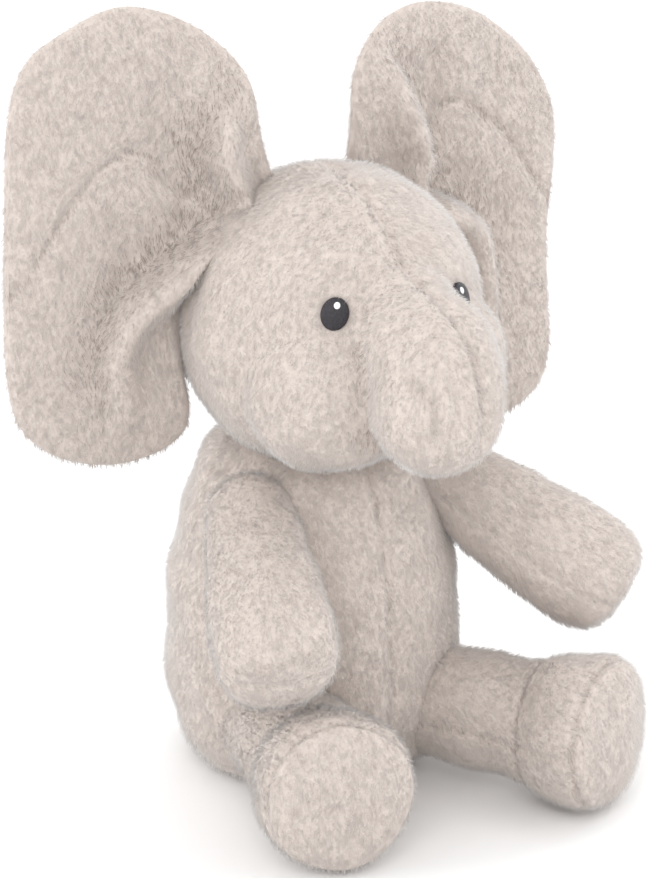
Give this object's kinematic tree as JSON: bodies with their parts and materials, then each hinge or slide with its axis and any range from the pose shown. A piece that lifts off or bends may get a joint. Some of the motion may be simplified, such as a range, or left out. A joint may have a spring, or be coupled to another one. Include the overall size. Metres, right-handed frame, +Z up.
{
  "type": "plush toy elephant",
  "caption": "Seated plush elephant with large round ears that flap, a short broad trunk, blunt arms and splayed legs with round press-switch feet.",
  "frame": {"origin": "on the floor, under the torso centre", "axes": "+Z up, the front faces -Y, the elephant's right is -X"},
  "size_m": [0.2404, 0.1752, 0.3006],
  "materials": {
    "plush": "short dense pile, matt",
    "sole_plush": "short dense pile, matt",
    "fibre_filling": "loose polyester fibre",
    "batting": "bonded fibre sheet",
    "eye_thread": "dense embroidery",
    "glint_thread": "a few satin stitches",
    "paddle_plastic": "moulded",
    "gearbox_plastic": "moulded",
    "gear_plastic": "moulded",
    "motor_steel": "drawn can",
    "pinion_brass": "cut teeth",
    "board": "lacquered board",
    "speaker_plastic": "moulded",
    "battery_plastic": "fine-textured moulding",
    "screw_steel": "plated",
    "cell_sleeve": "plain sleeve",
    "switch_plastic": "moulded"
  },
  "bodies": {
    "torso": {"torso_front_panel_right": "plush", "torso_front_panel_left": "plush", "torso_back_panel": "plush", "torso_base_panel": "plush", "torso_stuffing": "fibre_filling", "circuit_board": "board", "speaker": "speaker_plastic", "battery_box": "battery_plastic", "battery_door": "battery_plastic", "battery_door_screw": "screw_steel", "battery_cell_1": "cell_sleeve", "battery_cell_2": "cell_sleeve", "battery_cell_3": "cell_sleeve"},
    "flap": {"access_flap": "plush"},
    "head": {"face_panel_right": "plush", "face_panel_left": "plush", "head_back_panel": "plush", "head_stuffing": "fibre_filling", "eye_right": "eye_thread", "eye_left": "eye_thread", "eye_glint_right": "glint_thread", "eye_glint_left": "glint_thread", "gearbox_front_shell": "gearbox_plastic", "gearbox_rear_shell": "gearbox_plastic", "motor": "motor_steel"},
    "pinion": {"motor_pinion": "pinion_brass"},
    "gear": {"drive_gear": "gear_plastic"},
    "ear_right": {"ear_front_upper_right": "plush", "ear_front_lower_right": "plush", "ear_back_right": "plush", "ear_batting_right": "batting", "ear_paddle_right": "paddle_plastic"},
    "arm_right": {"arm_upper_panel_right": "plush", "arm_under_panel_right": "plush", "arm_stuffing_right": "fibre_filling"},
    "leg_right": {"leg_upper_panel_right": "plush", "leg_under_panel_right": "plush", "foot_sole_right": "sole_plush", "leg_stuffing_right": "fibre_filling", "foot_switch_cup_right": "switch_plastic"},
    "switch_right": {"foot_switch_button_right": "switch_plastic"},
    "ear_left": {"ear_front_upper_left": "plush", "ear_front_lower_left": "plush", "ear_back_left": "plush", "ear_batting_left": "batting", "ear_paddle_left": "paddle_plastic"},
    "arm_left": {"arm_upper_panel_left": "plush", "arm_under_panel_left": "plush", "arm_stuffing_left": "fibre_filling"},
    "leg_left": {"leg_upper_panel_left": "plush", "leg_under_panel_left": "plush", "foot_sole_left": "sole_plush", "leg_stuffing_left": "fibre_filling", "foot_switch_cup_left": "switch_plastic"},
    "switch_left": {"foot_switch_button_left": "switch_plastic"}
  },
  "joints": [
    {"name": "flap_open", "type": "hinge", "parent": "torso", "child": "flap", "pos_m": [0, 0.0575, 0.0855], "axis": [1, 0, 0], "range_deg": [0, 95]},
    {"name": "head_turn", "type": "hinge", "parent": "torso", "child": "head", "pos_m": [0, -0.012, 0.179], "axis": [0, 0, 1], "range_deg": [-12, 12]},
    {"name": "gear_turn", "type": "hinge", "parent": "head", "child": "gear", "pos_m": [0, -0.016, 0.17638], "axis": [0, 1, 0], "continuous": true},
    {"name": "pinion_turn", "type": "hinge", "parent": "head", "child": "pinion", "pos_m": [0, -0.016, 0.1898], "axis": [0, 1, 0], "continuous": true},
    {"name": "ear_flap_right", "type": "hinge", "parent": "head", "child": "ear_right", "pos_m": [-0.04243, 0.00925, 0.21406], "axis": [0.382, -0.5457, 0.7458], "range_deg": [-15, 15]},
    {"name": "ear_flap_left", "type": "hinge", "parent": "head", "child": "ear_left", "pos_m": [0.04243, 0.00925, 0.21406], "axis": [0.382, 0.5457, -0.7458], "range_deg": [-15, 15]},
    {"name": "arm_lift_right", "type": "hinge", "parent": "torso", "child": "arm_right", "pos_m": [-0.042, -0.024, 0.112], "axis": [-0.9244, 0.3813, 0], "range_deg": [0, 35]},
    {"name": "arm_lift_left", "type": "hinge", "parent": "torso", "child": "arm_left", "pos_m": [0.042, -0.024, 0.112], "axis": [-0.7164, -0.6976, 0], "range_deg": [0, 35]},
    {"name": "leg_swing_right", "type": "hinge", "parent": "torso", "child": "leg_right", "pos_m": [-0.028, -0.019, 0.027], "axis": [0, 0, -1], "range_deg": [-6, 16]},
    {"name": "foot_press_right", "type": "slide", "parent": "leg_right", "child": "switch_right", "axis": [0.2661, 0.9629, -0.0443], "range_m": [0, 0.002], "stiffness_N_per_m": 600},
    {"name": "leg_swing_left", "type": "hinge", "parent": "torso", "child": "leg_left", "pos_m": [0.028, -0.034, 0.027], "axis": [0, 0, 1], "range_deg": [-6, 16]},
    {"name": "foot_press_left", "type": "slide", "parent": "leg_left", "child": "switch_left", "axis": [-0.429, 0.9022, -0.0442], "range_m": [0, 0.002], "stiffness_N_per_m": 600}
  ],
  "couplings": [
    {"joint": "ear_flap_left", "follows": "ear_flap_right", "ratio": 1},
    {"joint": "pinion_turn", "follows": "gear_turn", "ratio": -2.6667}
  ]
}
